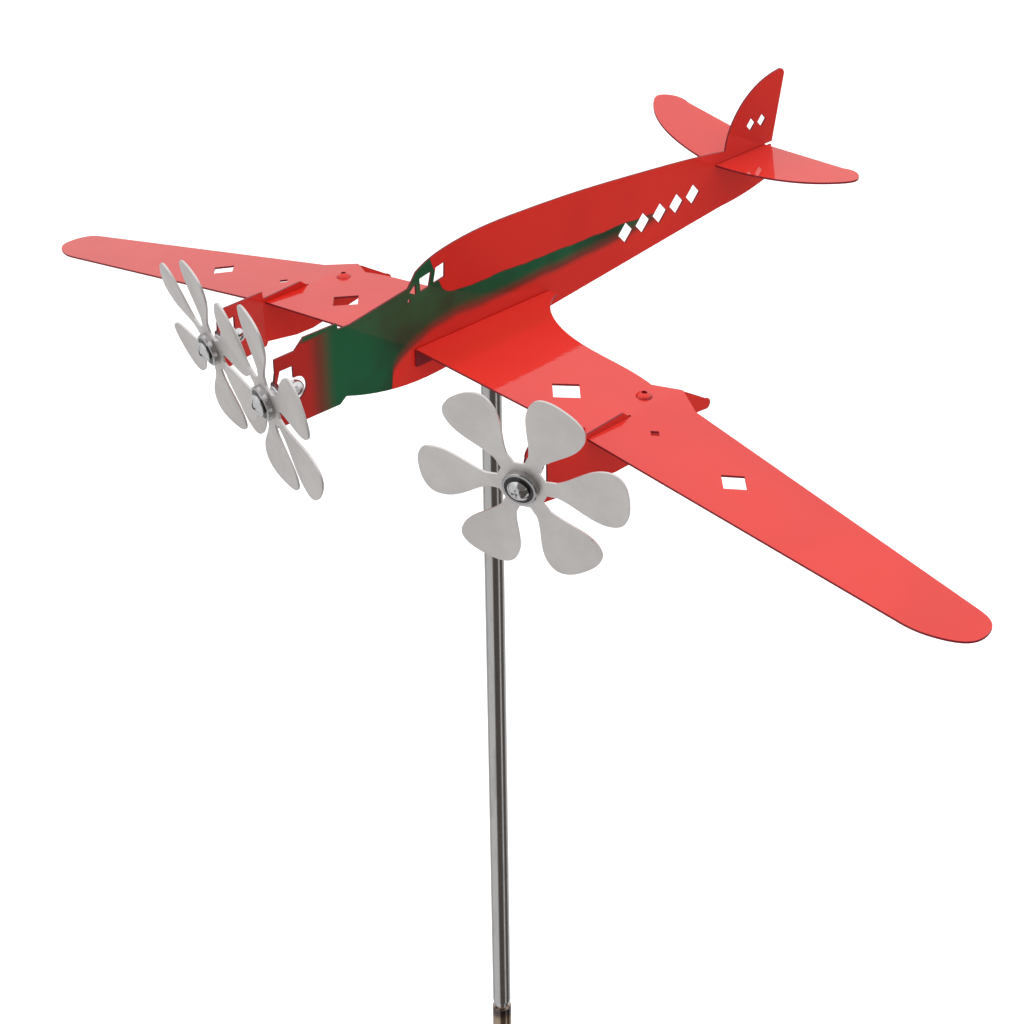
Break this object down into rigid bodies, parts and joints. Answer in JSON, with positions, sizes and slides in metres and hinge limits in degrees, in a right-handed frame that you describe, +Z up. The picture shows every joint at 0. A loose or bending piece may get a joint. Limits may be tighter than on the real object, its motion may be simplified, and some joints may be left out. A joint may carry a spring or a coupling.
{
  "type": "garden whirligig",
  "caption": "Garden whirligig: sheet-steel aircraft that turns into the wind on a pole, with free-spinning petal propellers on ball bearings.",
  "frame": {"origin": "on the pole axis at ground level, where the spike leaves its collar", "axes": "-Y towards the aircraft's nose, +X towards its port wing tip, +Z up along the pole"},
  "size_m": [0.585, 0.3713, 1.0958],
  "materials": {
    "red_paint": "gloss",
    "red_green_paint": "gloss with airbrushed green",
    "blade_steel": "satin stainless",
    "bright_steel": "polished",
    "bearing_steel": "polished",
    "shield_steel": "dark satin",
    "zinc_steel": "zinc plated",
    "pole_steel": "polished stainless",
    "bronze": "sintered bronze",
    "red_screw": "gloss"
  },
  "bodies": {
    "pole": {"pole_upper": "pole_steel", "pole_lower": "pole_steel", "ground_spike": "pole_steel", "pivot_bush_upper": "bronze", "pivot_bush_lower": "bronze"},
    "aircraft": {"fuselage_plate": "red_green_paint", "wing_port": "red_paint", "wing_starboard": "red_paint", "tailplane": "red_paint", "nacelle_plate_port": "red_paint", "nacelle_plate_starboard": "red_paint", "nacelle_screws": "red_screw", "nacelle_nuts": "zinc_steel", "wing_root_screws": "zinc_steel", "wing_root_nuts": "zinc_steel", "yoke_screws": "zinc_steel", "yoke_nuts": "zinc_steel", "pivot_yoke": "zinc_steel", "pivot_spindle": "bright_steel", "thrust_washer": "bronze", "axle_screws": "bright_steel", "cap_nuts": "bright_steel", "axle_washers": "bright_steel", "axle_spacers": "zinc_steel", "bearing_inner_races": "bearing_steel"},
    "nose_propeller_wheel": {"nose_propeller": "blade_steel", "nose_bearing_race": "bearing_steel", "nose_bearing_shields": "shield_steel", "nose_bearing_balls": "bearing_steel"},
    "port_propeller_wheel": {"port_propeller": "blade_steel", "port_bearing_race": "bearing_steel", "port_bearing_shields": "shield_steel", "port_bearing_balls": "bearing_steel"},
    "starboard_propeller_wheel": {"starboard_propeller": "blade_steel", "starboard_bearing_race": "bearing_steel", "starboard_bearing_shields": "shield_steel", "starboard_bearing_balls": "bearing_steel"}
  },
  "joints": [
    {"name": "yaw", "type": "hinge", "parent": "pole", "child": "aircraft", "pos_m": [0, 0, 0.7905], "axis": [0, 0, 1], "continuous": true},
    {"name": "nose_spin", "type": "hinge", "parent": "aircraft", "child": "nose_propeller_wheel", "pos_m": [-0.00184, -0.1357, 0.83338], "axis": [-0.2783, -0.9396, -0.1994], "continuous": true},
    {"name": "port_spin", "type": "hinge", "parent": "aircraft", "child": "port_propeller_wheel", "pos_m": [0.1051, -0.09007, 0.8138], "axis": [0.3201, -0.9297, -0.1822], "continuous": true},
    {"name": "starboard_spin", "type": "hinge", "parent": "aircraft", "child": "starboard_propeller_wheel", "pos_m": [-0.09819, -0.08951, 0.81146], "axis": [-0.2352, -0.9435, -0.2334], "continuous": true}
  ]
}
